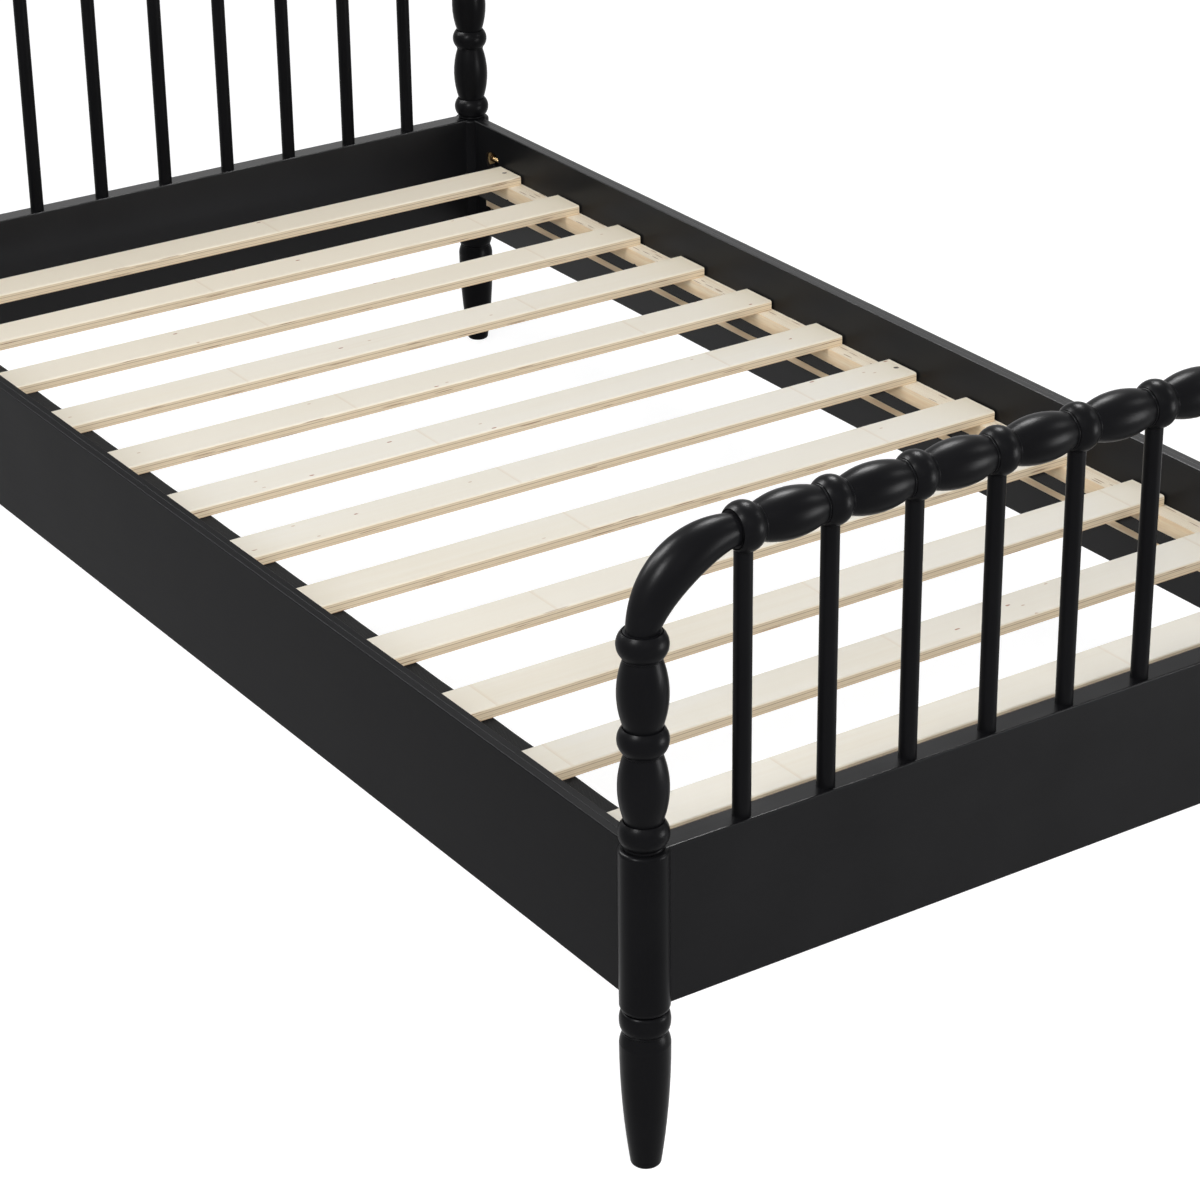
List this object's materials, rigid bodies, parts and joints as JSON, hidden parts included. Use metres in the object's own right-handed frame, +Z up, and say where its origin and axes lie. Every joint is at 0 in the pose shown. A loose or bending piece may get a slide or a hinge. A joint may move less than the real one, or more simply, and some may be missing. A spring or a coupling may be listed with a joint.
{
  "type": "turned spindle bed frame",
  "caption": "Single bed frame in satin black wood with bead-turned posts and top rails, rounded corners, straight spindles at both ends and a slatted deck.",
  "frame": {"origin": "on the floor, midway between the four posts", "axes": "+X across the bed to the right, +Y along the bed from foot to head, +Z up"},
  "size_m": [1.0756, 2.0005, 1.1082],
  "materials": {
    "painted_wood": "smooth satin black paint",
    "laminated_wood": "pale laminated veneer, thin dark glue lines on the edges",
    "webbing": "woven black polypropylene tape",
    "zinc_yellow_steel": "yellow passivated zinc",
    "bright_steel": "bright zinc",
    "black_steel": "black oxide",
    "birch_dowel": "plain birch"
  },
  "bodies": {
    "root": {"bed_bolts": "zinc_yellow_steel", "bolt_nuts": "zinc_yellow_steel", "cleat_screws": "black_steel", "corner_dowels": "birch_dowel", "foot_corner_left": "painted_wood", "foot_corner_right": "painted_wood", "foot_panel": "painted_wood", "foot_post_left": "painted_wood", "foot_post_right": "painted_wood", "foot_spindle_1": "painted_wood", "foot_spindle_2": "painted_wood", "foot_spindle_3": "painted_wood", "foot_spindle_4": "painted_wood", "foot_spindle_5": "painted_wood", "foot_spindle_6": "painted_wood", "foot_spindle_7": "painted_wood", "foot_spindle_8": "painted_wood", "foot_spindle_9": "painted_wood", "foot_top_rail": "painted_wood", "half_moon_washers": "zinc_yellow_steel", "head_corner_left": "painted_wood", "head_corner_right": "painted_wood", "head_panel": "painted_wood", "head_post_left": "painted_wood", "head_post_right": "painted_wood", "head_spindle_1": "painted_wood", "head_spindle_2": "painted_wood", "head_spindle_3": "painted_wood", "head_spindle_4": "painted_wood", "head_spindle_5": "painted_wood", "head_spindle_6": "painted_wood", "head_spindle_7": "painted_wood", "head_spindle_8": "painted_wood", "head_spindle_9": "painted_wood", "head_top_rail": "painted_wood", "panel_dowels": "birch_dowel", "post_inserts": "bright_steel", "side_rail_left": "painted_wood", "side_rail_right": "painted_wood", "slat_01": "laminated_wood", "slat_02": "laminated_wood", "slat_03": "laminated_wood", "slat_04": "laminated_wood", "slat_05": "laminated_wood", "slat_06": "laminated_wood", "slat_07": "laminated_wood", "slat_08": "laminated_wood", "slat_09": "laminated_wood", "slat_10": "laminated_wood", "slat_11": "laminated_wood", "slat_12": "laminated_wood", "slat_cleat_left": "laminated_wood", "slat_cleat_right": "laminated_wood", "slat_screws": "black_steel", "slat_strap_left": "webbing", "slat_strap_right": "webbing", "strap_staples": "bright_steel"}
  },
  "joints": []
}
